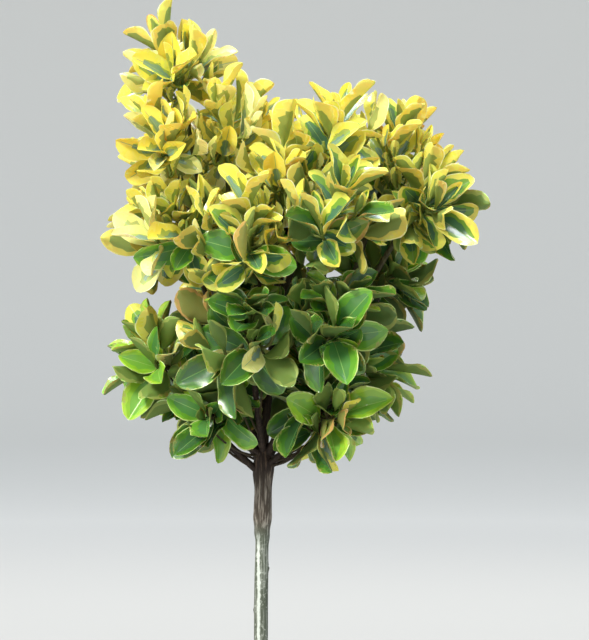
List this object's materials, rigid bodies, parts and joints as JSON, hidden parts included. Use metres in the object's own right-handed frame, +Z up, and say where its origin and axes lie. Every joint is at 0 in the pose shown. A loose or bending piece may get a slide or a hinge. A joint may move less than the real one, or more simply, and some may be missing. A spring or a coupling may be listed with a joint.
{
  "type": "variegated evergreen standard shrub",
  "caption": "Standard shrub: a slim bare woody stem with a flared foot forks into upright boughs under a loose head of glossy, gold-edged evergreen leaves.",
  "frame": {"origin": "middle of the flat cut under the stem at ground level", "axes": "+Z up along the stem, -Y towards the front of the head, +X to the right as seen from the front"},
  "size_m": [0.3792, 0.3395, 0.9667],
  "materials": {
    "stem_bark": "matt grey-green bark with pale streaks below the graft and brown fissured wood above it",
    "bough_bark": "matt brown-grey bark, greener on the young twigs",
    "leaf_gold": "glossy leather-like leaf, bright yellow with a small green middle",
    "leaf_half_gold": "glossy leather-like leaf, half green and half yellow",
    "leaf_green": "glossy leather-like leaf, green with a thin pale yellow edge"
  },
  "bodies": {
    "root": {"bough_centre": "bough_bark", "bough_prop": "bough_bark", "bough_reach": "bough_bark", "bough_spine": "bough_bark", "bough_to_back_crest": "bough_bark", "bough_to_back_heart": "bough_bark", "bough_to_back_low_left": "bough_bark", "bough_to_back_low_right": "bough_bark", "bough_to_back_spire": "bough_bark", "bough_to_back_wing": "bough_bark", "bough_to_belly": "bough_bark", "bough_to_breast": "bough_bark", "bough_to_cheek": "bough_bark", "bough_to_crest": "bough_bark", "bough_to_crest_right": "bough_bark", "bough_to_flank_left": "bough_bark", "bough_to_flank_right": "bough_bark", "bough_to_heart": "bough_bark", "bough_to_saddle": "bough_bark", "bough_to_shoulder_left": "bough_bark", "bough_to_skirt_left": "bough_bark", "bough_to_skirt_right": "bough_bark", "bough_to_spire_left": "bough_bark", "bough_to_spire_right": "bough_bark", "bough_to_spire_top": "bough_bark", "bough_to_under_wing": "bough_bark", "bough_to_wing": "bough_bark", "leaves_back_crest": "leaf_gold", "leaves_back_heart": "leaf_green", "leaves_back_low_left": "leaf_green", "leaves_back_low_right": "leaf_green", "leaves_back_spire": "leaf_gold", "leaves_back_wing": "leaf_half_gold", "leaves_belly": "leaf_green", "leaves_breast": "leaf_half_gold", "leaves_cheek": "leaf_half_gold", "leaves_crest": "leaf_gold", "leaves_crest_right": "leaf_gold", "leaves_flank_left": "leaf_green", "leaves_flank_right": "leaf_green", "leaves_heart": "leaf_green", "leaves_saddle": "leaf_gold", "leaves_shoulder_left": "leaf_half_gold", "leaves_skirt_left": "leaf_green", "leaves_skirt_right": "leaf_green", "leaves_spire_left": "leaf_gold", "leaves_spire_right": "leaf_gold", "leaves_spire_top": "leaf_gold", "leaves_under_wing": "leaf_half_gold", "leaves_wing": "leaf_half_gold", "stem": "stem_bark"}
  },
  "joints": []
}
